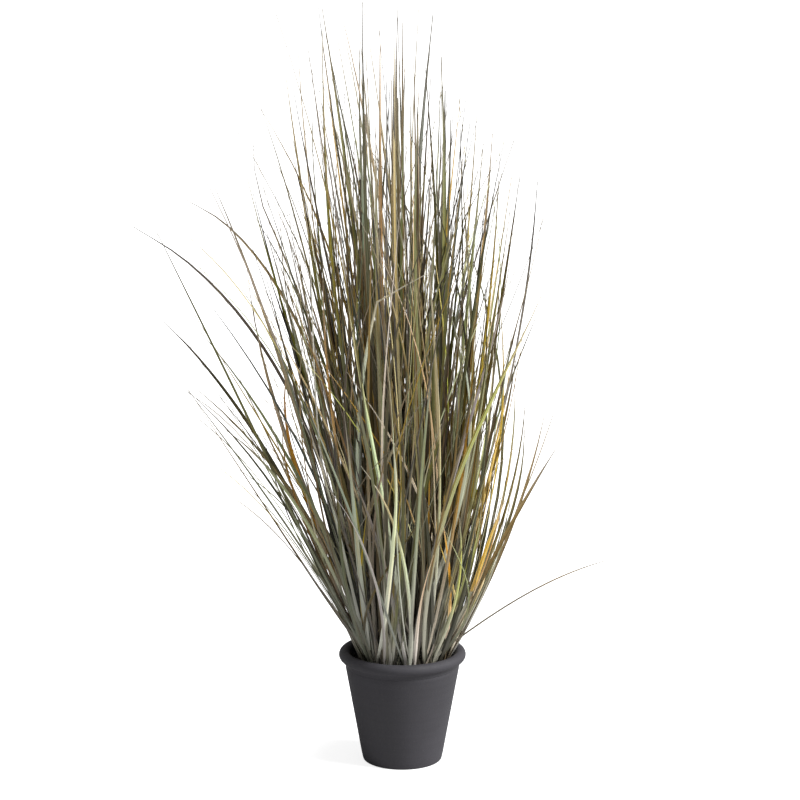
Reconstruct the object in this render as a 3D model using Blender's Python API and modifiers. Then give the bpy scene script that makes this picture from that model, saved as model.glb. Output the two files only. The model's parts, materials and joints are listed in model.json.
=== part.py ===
# A clump of ornamental grass growing in a round tapered pot.
#
# Metres, +Z up.  The origin is the centre of the pot's flat base, on the ground.
# The front of the plant faces -Y and its longest leaf arches out along -X.

import math

import bpy

OBJECT_NAME = "potted_grass_clump"

# Pot: a tapered wall, a half-round rolled lip and a flat base with drain holes.
POT_HEIGHT = 0.144
BASE_RADIUS = 0.050
NECK_RADIUS = 0.0722
NECK_HEIGHT = 0.124
WALL_THICKNESS = 0.0055
FLOOR_THICKNESS = 0.006
FOOT_ROUNDING = 0.0022
LIP_RADIUS = 0.007
RIM_RADIUS = 0.080
BAND_HEIGHT = 0.003        # the short band between the wall and the lip
BAND_STEP = 0.0004
FLOOR_CORNER = 0.003       # chamfer where the inside floor meets the wall
TURNED_STEPS = 48
LIP_STEPS = 12
FOOT_STEPS = 3
MERGE_DISTANCE = 0.00005
DRAIN_HOLES = 3
DRAIN_RADIUS = 0.0045
DRAIN_CIRCLE = 0.026
DRAIN_SIDES = 20

# Soil: fills the pot to a little below its rim.
SOIL_TOP = 0.132
SOIL_EDGE_DROP = 0.003
CONTACT_GAP = 0.0003
SOIL_CLEARANCE = 0.00045
SOIL_CORNER_GAP = 0.0006

# Planting plan: every shoot and outer leaf stands on one spot of a sunflower spiral.
SPOTS = 58
PLANTED_RADIUS = 0.058
GOLDEN_ANGLE = math.radians(137.508)
INNER_SHARE = 0.784        # spots within this share of the planted radius carry shoots

# A leaf starts at its lean from the vertical and bends on by its droop towards the tip.
DROOP_POWER = 2.0
PATH_FINENESS = 12         # steps walked between two points of a leaf's path
SHOOT_POINTS = 9
SHOOT_RADIUS = 0.0035
SHOOT_TIP = 0.13           # tip radius as a share of the root's
BLADE_POINTS = 10
BLADE_WIDTH = 0.0056
BLADE_THICKNESS = 0.0016
BLADE_FOLD = 0.0010        # how far the midrib lies below the two edges
BLADE_TIP = 0.14
TAPER_POWER = 0.7

# Habit of the shoots, by how far out they stand: degrees and metres.
SHOOT_EDGE_LEAN = 17.0
SHOOT_LEAN_VARIES = 2.0
SHOOT_DROOP = 2.0
SHOOT_EDGE_DROOP = -8.0
SHOOT_DROOP_VARIES = 5.0
SHOOT_LENGTH = 0.770
SHOOT_EDGE_LENGTH = -0.230
SHOOT_LENGTH_VARIES = 0.040

# Habit of the outer leaves that OUTER_LEAVES doesn't list; the right side stands straighter.
SKIRT_LEAN = 24.0
SKIRT_LEAN_VARIES = 4.0
SKIRT_RIGHT_LEAN = -4.0
SKIRT_DROOP = 28.0
SKIRT_DROOP_VARIES = 10.0
SKIRT_RIGHT_DROOP = -38.0
SKIRT_LENGTH = 0.430
SKIRT_LENGTH_VARIES = 0.055

# How fast each measure rises and falls from one spot to the next, radians.
LEAN_RATE = 2.4
DROOP_RATE = 1.7
SHOOT_LENGTH_RATE = 2.9
SKIRT_LENGTH_RATE = 3.1

# Single outer leaves by their spot: lean and droop in degrees, length in metres.
OUTER_LEAVES = {
    3: (-1, 7, 0.825),
    7: (-2, 20, 0.790),
    8: (1, 7, 0.760),
    9: (-1, 16, 0.820),
    11: (4, 10, 0.725),
    14: (0, 30, 0.740),
    17: (9, -6, 0.785),
    18: (5, 5, 0.690),
    21: (6, -1, 0.650),
    22: (12, -3, 0.745),
    25: (12, 3, 0.725),
    26: (50, 22, 0.300),
    29: (9, -5, 0.660),
    30: (12, 54, 0.640),
    33: (13, 39, 0.650),
    35: (12, 70, 0.700),
    38: (14, 9, 0.645),
    41: (22, 38, 0.500),
    42: (16, -13, 0.610),
    43: (28, 25, 0.500),
    46: (28, 30, 0.380),
    47: (25, 6, 0.315),
    48: (32, 26, 0.440),
    51: (25, 31, 0.390),
    54: (25, 31, 0.425),
    55: (26, -11, 0.365),
    56: (34, 39, 0.435),
}

# Colours are linear RGB.
POT_CHARCOAL = (0.055, 0.052, 0.056)
SOIL_BROWN = (0.020, 0.014, 0.009)
LEAF_TONES = {
    "leaf_sage": (0.235, 0.260, 0.165),
    "leaf_olive": (0.135, 0.140, 0.060),
    "leaf_ochre": (0.330, 0.200, 0.060),
}
POT_ROUGHNESS = 0.78
SOIL_ROUGHNESS = 0.95
LEAF_ROUGHNESS = 0.6


def clear_scene():
    for old in list(bpy.data.objects):
        bpy.data.objects.remove(old, do_unlink=True)


def make_collection(name):
    collection = bpy.data.collections.new(name)
    bpy.context.scene.collection.children.link(collection)
    return collection


def make_material(name, colour, roughness):
    material = bpy.data.materials.new(name)
    material.use_nodes = True
    shader = material.node_tree.nodes["Principled BSDF"]
    shader.inputs["Base Color"].default_value = (*colour, 1.0)
    shader.inputs["Roughness"].default_value = roughness
    shader.inputs["Metallic"].default_value = 0.0
    material.diffuse_color = (*colour, 1.0)
    return material


def arc(centre_r, centre_z, radius, start, end, steps):
    """Points of an arc in the turned profile's plane, angles in degrees."""
    points = []
    for step in range(steps + 1):
        angle = math.radians(start + (end - start) * step / steps)
        points.append((centre_r + radius * math.cos(angle), centre_z + radius * math.sin(angle)))
    return points


def wall_radius(height):
    """Outer radius of the pot's straight wall."""
    return BASE_RADIUS + (NECK_RADIUS - BASE_RADIUS) * height / NECK_HEIGHT


def turned_object(name, profile, material, collection):
    """A solid of revolution about Z from (radius, height) points."""
    mesh = bpy.data.meshes.new(name)
    edges = [(i, i + 1) for i in range(len(profile) - 1)]
    mesh.from_pydata([(r, 0.0, z) for r, z in profile], edges, [])
    mesh.materials.append(material)
    turned = bpy.data.objects.new(name, mesh)
    collection.objects.link(turned)
    screw = turned.modifiers.new("turn", "SCREW")
    screw.axis = "Z"
    screw.steps = TURNED_STEPS
    screw.render_steps = TURNED_STEPS
    screw.use_merge_vertices = True
    screw.merge_threshold = MERGE_DISTANCE
    return turned


def pot_profile():
    """From the middle of the inside floor, over the lip, down to the middle of the base."""
    lip_r = RIM_RADIUS - LIP_RADIUS
    lip_z = POT_HEIGHT - LIP_RADIUS
    inner_floor_r = wall_radius(FLOOR_THICKNESS) - WALL_THICKNESS
    profile = [(0.0, FLOOR_THICKNESS)]
    profile.append((inner_floor_r - FLOOR_CORNER, FLOOR_THICKNESS))
    profile.append((inner_floor_r, FLOOR_THICKNESS + FLOOR_CORNER))
    profile.append((lip_r - LIP_RADIUS, NECK_HEIGHT))
    profile += arc(lip_r, lip_z, LIP_RADIUS, 180, -90, LIP_STEPS)
    profile.append((wall_radius(NECK_HEIGHT) + BAND_STEP, NECK_HEIGHT + BAND_HEIGHT))
    profile.append((wall_radius(NECK_HEIGHT), NECK_HEIGHT))
    profile.append((wall_radius(FOOT_ROUNDING), FOOT_ROUNDING))
    profile += arc(BASE_RADIUS - FOOT_ROUNDING, FOOT_ROUNDING, FOOT_ROUNDING, -20, -90, FOOT_STEPS)
    profile.append((0.0, 0.0))
    return profile


def drain_cutter(index, collection):
    angle = 2.0 * math.pi * index / DRAIN_HOLES + math.pi / 2.0
    place = (DRAIN_CIRCLE * math.cos(angle), DRAIN_CIRCLE * math.sin(angle), FLOOR_THICKNESS / 2.0)
    bpy.ops.mesh.primitive_cylinder_add(
        vertices=DRAIN_SIDES, radius=DRAIN_RADIUS, depth=FLOOR_THICKNESS * 2.0, location=place
    )
    cutter = bpy.context.object
    cutter.name = f"drain_cutter_{index + 1}"
    cutter.hide_render = True
    cutter.display_type = "WIRE"
    for holder in list(cutter.users_collection):
        holder.objects.unlink(cutter)
    collection.objects.link(cutter)
    return cutter


def make_pot(collection, helpers):
    material = make_material("pot_charcoal", POT_CHARCOAL, POT_ROUGHNESS)
    pot = turned_object("pot", pot_profile(), material, collection)
    for index in range(DRAIN_HOLES):
        hole = pot.modifiers.new(f"drain_{index + 1}", "BOOLEAN")
        hole.operation = "DIFFERENCE"
        hole.solver = "EXACT"
        hole.object = drain_cutter(index, helpers)


def make_soil(collection):
    material = make_material("soil_brown", SOIL_BROWN, SOIL_ROUGHNESS)
    bottom = FLOOR_THICKNESS + CONTACT_GAP
    corner = wall_radius(FLOOR_THICKNESS + FLOOR_CORNER) - WALL_THICKNESS - SOIL_CLEARANCE - SOIL_CORNER_GAP
    foot = wall_radius(FLOOR_THICKNESS) - WALL_THICKNESS - SOIL_CLEARANCE - SOIL_CORNER_GAP - FLOOR_CORNER
    edge = RIM_RADIUS - 2.0 * LIP_RADIUS - SOIL_CLEARANCE
    profile = [(0.0, SOIL_TOP)]
    profile.append((edge - 2.0 * SOIL_EDGE_DROP, SOIL_TOP))
    profile.append((edge, SOIL_TOP - SOIL_EDGE_DROP))
    profile.append((edge, NECK_HEIGHT))
    profile.append((corner, bottom + FLOOR_CORNER))
    profile.append((foot, bottom))
    profile.append((0.0, bottom))
    turned_object("soil", profile, material, collection)


def leaf_section(collection):
    """The folded cross-section of a leaf blade, midrib below the two edges, as a closed curve."""
    half = BLADE_WIDTH / 2.0
    outline = [
        (-half, BLADE_FOLD),
        (0.0, BLADE_THICKNESS / 2.0),
        (half, BLADE_FOLD),
        (0.0, -BLADE_THICKNESS / 2.0),
    ]
    curve = bpy.data.curves.new("leaf_section", "CURVE")
    curve.dimensions = "2D"
    spline = curve.splines.new("POLY")
    spline.points.add(len(outline) - 1)
    for point, (x, y) in zip(spline.points, outline):
        point.co = (x, y, 0.0, 1.0)
    spline.use_cyclic_u = True
    section = bpy.data.objects.new("leaf_section", curve)
    section.hide_render = True
    section.display_type = "WIRE"
    collection.objects.link(section)
    return section


def leaf_path(lean, droop, length, count):
    """Points (outward, up) of a leaf that bends more and more towards its tip."""
    steps = PATH_FINENESS * (count - 1)
    step = length / steps
    outward, up = 0.0, 0.0
    points = [(0.0, 0.0)]
    for index in range(steps):
        share = (index + 0.5) / steps
        angle = math.radians(lean + droop * share ** DROOP_POWER)
        outward += step * math.sin(angle)
        up += step * math.cos(angle)
        if (index + 1) % PATH_FINENESS == 0:
            points.append((outward, up))
    return points


def leaf_object(name, path, tip_share, material, collection):
    """A tapering curve in its own XZ plane, root at the origin."""
    curve = bpy.data.curves.new(name, "CURVE")
    curve.dimensions = "3D"
    curve.twist_mode = "MINIMUM"
    curve.use_fill_caps = True
    curve.materials.append(material)
    spline = curve.splines.new("POLY")
    spline.points.add(len(path) - 1)
    for index, (point, (outward, up)) in enumerate(zip(spline.points, path)):
        left = 1.0 - index / (len(path) - 1)
        point.co = (outward, 0.0, up, 1.0)
        point.radius = tip_share + (1.0 - tip_share) * left ** TAPER_POWER
    leaf = bpy.data.objects.new(name, curve)
    collection.objects.link(leaf)
    return leaf


def plant(leaf, spot, lean, half_width):
    """Stands a leaf on the soil at its spot, turned to grow outwards."""
    radius, angle = spot_place(spot)
    clearance = CONTACT_GAP + half_width * math.sin(math.radians(abs(lean)))
    leaf.location = (radius * math.cos(angle), radius * math.sin(angle), SOIL_TOP + clearance)
    leaf.rotation_euler = (0.0, 0.0, angle)


def spot_place(spot):
    radius = PLANTED_RADIUS * math.sqrt((spot + 0.5) / SPOTS)
    return radius, spot * GOLDEN_ANGLE


def shoot_habit(spot):
    """Lean, droop and length of a shoot: upright and tall in the middle, lower outside."""
    share = spot_place(spot)[0] / PLANTED_RADIUS
    lean = SHOOT_EDGE_LEAN * share ** 2 + SHOOT_LEAN_VARIES * math.sin(LEAN_RATE * spot) * share
    droop = SHOOT_DROOP + SHOOT_EDGE_DROOP * share + SHOOT_DROOP_VARIES * math.cos(DROOP_RATE * spot)
    length = SHOOT_LENGTH + SHOOT_EDGE_LENGTH * share ** 2
    length += SHOOT_LENGTH_VARIES * math.cos(SHOOT_LENGTH_RATE * spot)
    return lean, droop, length


def skirt_habit(spot):
    """Lean, droop and length of an outer leaf at the front or back of the clump."""
    towards_right = max(0.0, math.cos(spot_place(spot)[1]))
    lean = SKIRT_LEAN + SKIRT_LEAN_VARIES * math.sin(LEAN_RATE * spot) + SKIRT_RIGHT_LEAN * towards_right
    droop = SKIRT_DROOP + SKIRT_DROOP_VARIES * math.cos(DROOP_RATE * spot) + SKIRT_RIGHT_DROOP * towards_right
    length = SKIRT_LENGTH + SKIRT_LENGTH_VARIES * math.sin(SKIRT_LENGTH_RATE * spot)
    return lean, droop, length


def make_shoot(name, spot, material, collection):
    lean, droop, length = shoot_habit(spot)
    path = leaf_path(lean, droop, length, SHOOT_POINTS)
    shoot = leaf_object(name, path, SHOOT_TIP, material, collection)
    shoot.data.bevel_depth = SHOOT_RADIUS
    shoot.data.bevel_resolution = 1
    plant(shoot, spot, lean, SHOOT_RADIUS)


def make_blade(name, spot, section, material, collection):
    lean, droop, length = OUTER_LEAVES.get(spot) or skirt_habit(spot)
    path = leaf_path(lean, droop, length, BLADE_POINTS)
    blade = leaf_object(name, path, BLADE_TIP, material, collection)
    blade.data.bevel_mode = "OBJECT"
    blade.data.bevel_object = section
    plant(blade, spot, lean, BLADE_WIDTH / 2.0)


def make_grass(collection, helpers):
    tones = list(LEAF_TONES)
    materials = [make_material(tone, LEAF_TONES[tone], LEAF_ROUGHNESS) for tone in tones]
    section = leaf_section(helpers)
    shoots = 0
    blades = 0
    for spot in range(SPOTS):
        material = materials[spot % len(materials)]
        inner = spot_place(spot)[0] < INNER_SHARE * PLANTED_RADIUS
        if inner and spot not in OUTER_LEAVES:
            shoots += 1
            make_shoot(f"shoot_{shoots:02d}", spot, material, collection)
        else:
            blades += 1
            make_blade(f"blade_{blades:02d}", spot, section, material, collection)


def main():
    clear_scene()
    parts = make_collection(OBJECT_NAME)
    helpers = make_collection("helpers")
    make_pot(parts, helpers)
    make_soil(parts)
    make_grass(parts, helpers)


main()
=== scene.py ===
# Potted grass clump: the turned pot, its soil and every leaf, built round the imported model.
import json
import math

import bmesh
import bpy
import numpy as np
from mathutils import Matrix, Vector


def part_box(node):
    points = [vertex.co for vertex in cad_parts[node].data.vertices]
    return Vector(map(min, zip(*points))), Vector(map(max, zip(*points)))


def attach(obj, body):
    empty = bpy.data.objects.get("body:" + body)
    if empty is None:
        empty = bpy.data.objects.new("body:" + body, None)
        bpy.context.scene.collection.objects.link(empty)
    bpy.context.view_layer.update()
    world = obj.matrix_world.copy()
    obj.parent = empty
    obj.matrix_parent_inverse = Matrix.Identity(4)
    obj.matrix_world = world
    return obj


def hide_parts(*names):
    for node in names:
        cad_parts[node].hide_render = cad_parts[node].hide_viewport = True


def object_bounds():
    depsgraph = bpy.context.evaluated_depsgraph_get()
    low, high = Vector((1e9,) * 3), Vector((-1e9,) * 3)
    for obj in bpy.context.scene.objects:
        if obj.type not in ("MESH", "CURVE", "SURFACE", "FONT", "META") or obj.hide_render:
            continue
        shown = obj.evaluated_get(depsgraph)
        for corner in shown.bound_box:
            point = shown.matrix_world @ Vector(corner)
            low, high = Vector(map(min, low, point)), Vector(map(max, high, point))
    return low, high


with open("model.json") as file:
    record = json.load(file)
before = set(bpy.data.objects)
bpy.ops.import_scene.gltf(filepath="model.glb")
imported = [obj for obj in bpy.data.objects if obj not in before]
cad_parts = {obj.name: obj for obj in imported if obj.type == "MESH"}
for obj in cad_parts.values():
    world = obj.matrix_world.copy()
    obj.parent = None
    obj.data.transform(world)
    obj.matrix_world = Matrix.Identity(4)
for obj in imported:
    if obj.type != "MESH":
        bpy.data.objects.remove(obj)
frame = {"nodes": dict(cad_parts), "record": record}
cadLow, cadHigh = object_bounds()
slotOfNode = {part["node"]: part["material_slot"] for part in frame["record"]["subparts"]}
grassNodes = sorted(name for name in frame["nodes"] if name not in ("pot", "soil"))
print("frame loaded:", len(grassNodes), "grass nodes")


# small helpers

def deselectAll():
    bpy.ops.object.select_all(action="DESELECT")


def selectOnly(*pieces):
    deselectAll()
    for piece in pieces:
        piece.select_set(True)
    bpy.context.view_layer.objects.active = pieces[0]


def startEditing(piece):
    selectOnly(piece)
    bpy.ops.object.mode_set(mode="EDIT")
    bpy.ops.mesh.select_all(action="SELECT")


def stopEditing():
    bpy.ops.object.mode_set(mode="OBJECT")


def selectWhere(piece, test, what="verts"):
    # in edit mode: selects the vertices or faces that pass the test, and nothing else
    cage = bmesh.from_edit_mesh(piece.data)
    for part in (cage.faces, cage.edges, cage.verts):
        for item in part:
            item.select = False
    for item in getattr(cage, what):
        if test(item):
            item.select_set(True)
    cage.select_flush(True)
    bmesh.update_edit_mesh(piece.data)


def bakePlace(piece):
    selectOnly(piece)
    bpy.ops.object.transform_apply(location=True, rotation=True, scale=True)


def smoothByAngle(piece, degrees):
    selectOnly(piece)
    bpy.ops.object.shade_smooth_by_angle(angle=math.radians(degrees))


def coat(piece, material):
    piece.data.materials.clear()
    piece.data.materials.append(material)


def polar(radius, angle):
    return radius * math.cos(angle), radius * math.sin(angle)


def smoothStep(low, high, value):
    share = np.clip((value - low) / (high - low), 0.0, 1.0)
    return share * share * (3.0 - 2.0 * share)


# material helpers

def addNode(tree, kind, **values):
    node = tree.nodes.new(kind)
    for name, value in values.items():
        setattr(node, name, value)
    return node


def plug(tree, value, socket):
    # links a socket, or sets a plain value
    if isinstance(value, bpy.types.NodeSocket):
        tree.links.new(value, socket)
    else:
        socket.default_value = value


def mathNode(tree, operation, *values):
    node = addNode(tree, "ShaderNodeMath", operation=operation)
    for value, socket in zip(values, node.inputs):
        plug(tree, value, socket)
    return node.outputs[0]


def mapRange(tree, value, low, high, newLow=0.0, newHigh=1.0, smooth=True):
    node = addNode(tree, "ShaderNodeMapRange", interpolation_type="SMOOTHSTEP" if smooth else "LINEAR")
    for entry, name in zip((value, low, high, newLow, newHigh),
                           ("Value", "From Min", "From Max", "To Min", "To Max")):
        plug(tree, entry, node.inputs[name])
    return node.outputs["Result"]


def mixColour(tree, share, under, over):
    node = addNode(tree, "ShaderNodeMix", data_type="RGBA")
    plug(tree, share, node.inputs["Factor"])
    plug(tree, under, node.inputs[6])
    plug(tree, over, node.inputs[7])
    return node.outputs[2]


def tint(tree, colour, over, mask, share):
    # lays another colour over this one where the mask is, never more than its share
    return mixColour(tree, mathNode(tree, "MULTIPLY", mask, share), colour, over)


def combine(tree, x, y, z):
    node = addNode(tree, "ShaderNodeCombineXYZ")
    for value, socket in zip((x, y, z), node.inputs):
        plug(tree, value, socket)
    return node.outputs[0]


def noiseAt(tree, place, scale, detail=2.0, roughness=0.5):
    node = addNode(tree, "ShaderNodeTexNoise")
    plug(tree, place, node.inputs["Vector"])
    plug(tree, scale, node.inputs["Scale"])
    node.inputs["Detail"].default_value = detail
    node.inputs["Roughness"].default_value = roughness
    return node.outputs["Fac"]


def newGroup(name, inputs, outputs):
    group = bpy.data.node_groups.new(name, "ShaderNodeTree")
    for socketName, kind, value in inputs:
        socket = group.interface.new_socket(socketName, in_out="INPUT", socket_type="NodeSocket" + kind)
        if value is not None:
            socket.default_value = value
    for socketName, kind in outputs:
        group.interface.new_socket(socketName, in_out="OUTPUT", socket_type="NodeSocket" + kind)
    return group, group.nodes.new("NodeGroupInput"), group.nodes.new("NodeGroupOutput")


def useGroup(tree, group, **values):
    node = addNode(tree, "ShaderNodeGroup", node_tree=group)
    for name, value in values.items():
        plug(tree, value, node.inputs[name])
    return node


def newMaterial(name, roughness):
    material = bpy.data.materials.new(name)
    material.use_nodes = True
    shader = material.node_tree.nodes["Principled BSDF"]
    shader.inputs["Roughness"].default_value = roughness
    return material, material.node_tree, shader


def addBump(tree, shader, height, strength, distance):
    bump = addNode(tree, "ShaderNodeBump")
    bump.inputs["Strength"].default_value = strength
    bump.inputs["Distance"].default_value = distance
    plug(tree, height, bump.inputs["Height"])
    tree.links.new(bump.outputs["Normal"], shader.inputs["Normal"])


# mottling: soft cloudy patches with a finer grain over them, used by the pot and the soil

def buildMottling():
    group, inside, outside = newGroup(
        "mottling",
        [("Vector", "Vector", None), ("Patch Scale", "Float", 12.0), ("Grain Scale", "Float", 300.0)],
        [("Patches", "Float"), ("Grain", "Float")],
    )
    patches = noiseAt(group, inside.outputs["Vector"], inside.outputs["Patch Scale"], 4.0, 0.55)
    grain = noiseAt(group, inside.outputs["Vector"], inside.outputs["Grain Scale"], 3.0, 0.65)
    plug(group, mapRange(group, patches, 0.3, 0.7), outside.inputs["Patches"])
    plug(group, mapRange(group, grain, 0.25, 0.75), outside.inputs["Grain"])
    return group


mottling = buildMottling()


# the pot

pot = {
    "sides": 120,
    "baseRadius": 0.050,
    "neckRadius": 0.0722,
    "neckHeight": 0.124,        # where the wall ends, under the lip
    "wall": 0.0055,
    "wallRings": (0.08, 0.2, 0.35, 0.5, 0.65, 0.8, 0.9, 0.96),
    "footRound": 0.0022,
    "footSteps": 4,
    "lip": 0.0070,              # the radius of its half-round
    "lipSteps": 18,
    "bandHeight": 0.0036,       # the flat band that runs from the lip's underside into the wall
    "grooveDepth": 0.0007,
    "grooveRise": 0.0012,
    "innerRings": (0.12, 0.35, 0.7),
    "innerRound": 0.003,
    "floor": 0.006,
    "floorRings": (0.6, 0.25),
    "drains": 3,
    "drainRadius": 0.0045,
    "drainCircle": 0.026,
    "charcoal": (0.0328, 0.0308, 0.0372, 1.0),
    "charcoalDeep": (0.0232, 0.0217, 0.0265, 1.0),
    "paleDustAndHighlight": (0.0860, 0.0825, 0.0915, 1.0),
    "patchScale": 16.0,
    "grainScale": 900.0,
    "turningScale": (6.0, 6.0, 260.0),
    "dustScale": 55.0,
    "fleckScale": 620.0,
    "pitScale": 480.0,
    "crestDustAndHighlight": (0.1405, 0.1445),  # heights between which dust and a painted highlight set in on the lip's crest
    "footDust": 0.006,
    "marksShare": 0.035,        # how much each finish shows over the charcoal
    "grainShare": 0.10,
    "dustAndHighlightShare": 0.12,
    "flecksShare": 0.35,
    "pitsShare": 0.5,
    "roughness": (0.68, 0.82),
}


def arcPoints(centreR, centreZ, radius, start, end, steps):
    angles = [math.radians(start + (end - start) * step / steps) for step in range(steps + 1)]
    return [(centreR + radius * math.cos(a), centreZ + radius * math.sin(a)) for a in angles]


def wallAt(height):
    # the outside radius of the tapered wall
    return pot["baseRadius"] + (pot["neckRadius"] - pot["baseRadius"]) * height / pot["neckHeight"]


def potProfile():
    # (radius, height) from the edge of the base, up the outside, over the lip and down the inside
    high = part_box("pot")[1]
    lipR, lipZ = high.x - pot["lip"], high.z - pot["lip"]
    foot, neck, groove = pot["footRound"], pot["neckHeight"], pot["grooveDepth"]
    profile = arcPoints(pot["baseRadius"] - foot, foot, foot, -90, -10, pot["footSteps"])
    for share in pot["wallRings"]:
        profile.append((wallAt(neck * share), neck * share))
    # the groove under the band, then the band that runs into the lip
    profile.append((wallAt(neck - pot["grooveRise"]) - groove * 0.4, neck - pot["grooveRise"]))
    profile.append((wallAt(neck) - groove, neck))
    profile.append((wallAt(neck) + 0.0002, neck + 0.0010))
    profile.append((wallAt(neck) + 0.0006, neck + pot["bandHeight"]))
    profile += arcPoints(lipR, lipZ, pot["lip"], -78, 180, pot["lipSteps"])
    innerFoot, innerTop = wallAt(pot["floor"]) - pot["wall"], lipR - pot["lip"]
    for share in pot["innerRings"]:
        profile.append((innerTop + (innerFoot - innerTop) * share, lipZ + (pot["floor"] - lipZ) * share))
    corner = pot["innerRound"]
    profile += arcPoints(innerFoot - corner, pot["floor"] + corner, corner, 0, -90, 3)
    return profile


def turnPot():
    # a thin disc whose top face is extruded along the profile, then scaled to each radius
    profile = potProfile()
    (firstR, firstZ), (secondR, secondZ) = profile[0], profile[1]
    deselectAll()
    bpy.ops.mesh.primitive_cylinder_add(
        vertices=pot["sides"], radius=firstR, depth=secondZ - firstZ,
        location=(0.0, 0.0, (firstZ + secondZ) / 2), end_fill_type="NGON",
    )
    turned = bpy.context.object
    turned.name = "turnedPot"
    bakePlace(turned)
    startEditing(turned)
    bpy.ops.mesh.select_mode(type="FACE")
    selectWhere(turned, lambda f: f.calc_center_median().z > secondZ - 1e-5, "faces")
    bpy.ops.transform.resize(value=(secondR / firstR, secondR / firstR, 1.0))
    radius, height = secondR, secondZ
    for nextR, nextZ in profile[2:]:
        bpy.ops.mesh.extrude_region_move(TRANSFORM_OT_translate={"value": (0.0, 0.0, nextZ - height)})
        bpy.ops.transform.resize(value=(nextR / radius, nextR / radius, 1.0))
        radius, height = nextR, nextZ
    for ring in pot["floorRings"]:
        bpy.ops.mesh.inset(thickness=radius * (1.0 - ring))
        radius *= ring
    bpy.ops.mesh.select_mode(type="VERT")
    bpy.ops.mesh.select_all(action="SELECT")
    bpy.ops.mesh.normals_make_consistent(inside=False)
    stopEditing()
    return turned


def drillDrains(turned):
    for index in range(pot["drains"]):
        angle = 2.0 * math.pi * index / pot["drains"] + math.pi / 2.0
        x, y = polar(pot["drainCircle"], angle)
        deselectAll()
        bpy.ops.mesh.primitive_cylinder_add(
            vertices=32, radius=pot["drainRadius"], depth=pot["floor"] * 2.0,
            location=(x, y, pot["floor"] / 2.0),
        )
        drill = bpy.context.object
        bakePlace(drill)
        selectOnly(turned)
        hole = turned.modifiers.new("drain", "BOOLEAN")
        hole.operation = "DIFFERENCE"
        hole.object = drill
        bpy.ops.object.modifier_apply(modifier=hole.name)
        bpy.data.objects.remove(drill)


def finishPot():
    smoothest, roughest = pot["roughness"]
    material, tree, shader = newMaterial("potClay", smoothest)
    place = addNode(tree, "ShaderNodeTexCoord").outputs["Object"]
    spots = useGroup(tree, mottling, **{
        "Vector": place, "Patch Scale": pot["patchScale"], "Grain Scale": pot["grainScale"],
    })
    split = addNode(tree, "ShaderNodeSeparateXYZ")
    plug(tree, place, split.inputs[0])
    height = split.outputs["Z"]
    # long faint turning marks round the wall
    turning = addNode(tree, "ShaderNodeMapping")
    plug(tree, place, turning.inputs["Vector"])
    turning.inputs["Scale"].default_value = pot["turningScale"]
    marks = mapRange(tree, noiseAt(tree, turning.outputs[0], 1.0, 3.0), 0.35, 0.65)
    # pale dust round the foot, and on the crest of the lip a pale band that is partly dust and partly
    # painted highlight
    crestDustAndHighlight = mapRange(tree, height, *pot["crestDustAndHighlight"])
    foot = mapRange(tree, height, pot["footDust"], 0.0)
    dustNoise = mapRange(tree, noiseAt(tree, place, pot["dustScale"], 5.0, 0.7), 0.42, 0.72)
    dustAndHighlight = mathNode(tree, "MULTIPLY", mathNode(tree, "MAXIMUM", crestDustAndHighlight, foot), dustNoise)
    # tiny pits and pale flecks all over
    flecks = mapRange(tree, noiseAt(tree, place, pot["fleckScale"], 2.0, 0.6), 0.66, 0.74)
    pits = mapRange(tree, noiseAt(tree, place, pot["pitScale"], 2.0, 0.6), 0.34, 0.27)
    grain = spots.outputs["Grain"]
    colour = mixColour(tree, spots.outputs["Patches"], pot["charcoalDeep"], pot["charcoal"])
    for over, mask, share in (
        ("paleDustAndHighlight", marks, "marksShare"), ("paleDustAndHighlight", grain, "grainShare"), ("paleDustAndHighlight", dustAndHighlight, "dustAndHighlightShare"),
        ("paleDustAndHighlight", flecks, "flecksShare"), ("charcoalDeep", pits, "pitsShare"),
    ):
        colour = tint(tree, colour, pot[over], mask, pot[share])
    plug(tree, colour, shader.inputs["Base Color"])
    rough = mapRange(tree, spots.outputs["Patches"], 0.0, 1.0, smoothest, roughest)
    plug(tree, rough, shader.inputs["Roughness"])
    ridges = mathNode(tree, "MULTIPLY", marks, 0.08)
    relief = mathNode(tree, "ADD", mathNode(tree, "MULTIPLY", grain, 0.5), ridges)
    addBump(tree, shader, mathNode(tree, "SUBTRACT", relief, pits), 0.25, 0.0004)
    return material


def makePot():
    turned = turnPot()
    drillDrains(turned)
    smoothByAngle(turned, 30)
    coat(turned, finishPot())
    turned.name = "claypot"
    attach(turned, "root")
    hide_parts("pot")


makePot()
print("pot turned")


# the soil: an uneven plug of compost with crumbs and bark chips on top

soil = {
    "sides": 72,
    "rings": 12,
    "unevenness": 0.0022,
    "waves": 9,
    "waveNumber": (60, 260),
    "edgeSink": 0.0030,        # how far the top falls towards the wall
    "clearance": 0.0008,       # between the plug's foot and the pot
    "crumbs": 620,
    "crumbSize": (0.0007, 0.0026),
    "chips": 70,
    "chipLength": (0.003, 0.009),
    "dark": (0.0075, 0.0052, 0.0036, 1.0),
    "brown": (0.0290, 0.0185, 0.0110, 1.0),
    "bark": (0.0750, 0.0440, 0.0230, 1.0),
    "patchScale": 120.0,
    "grainScale": 1400.0,
    "fibreScale": 420.0,
    "seed": 4,
}


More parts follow.
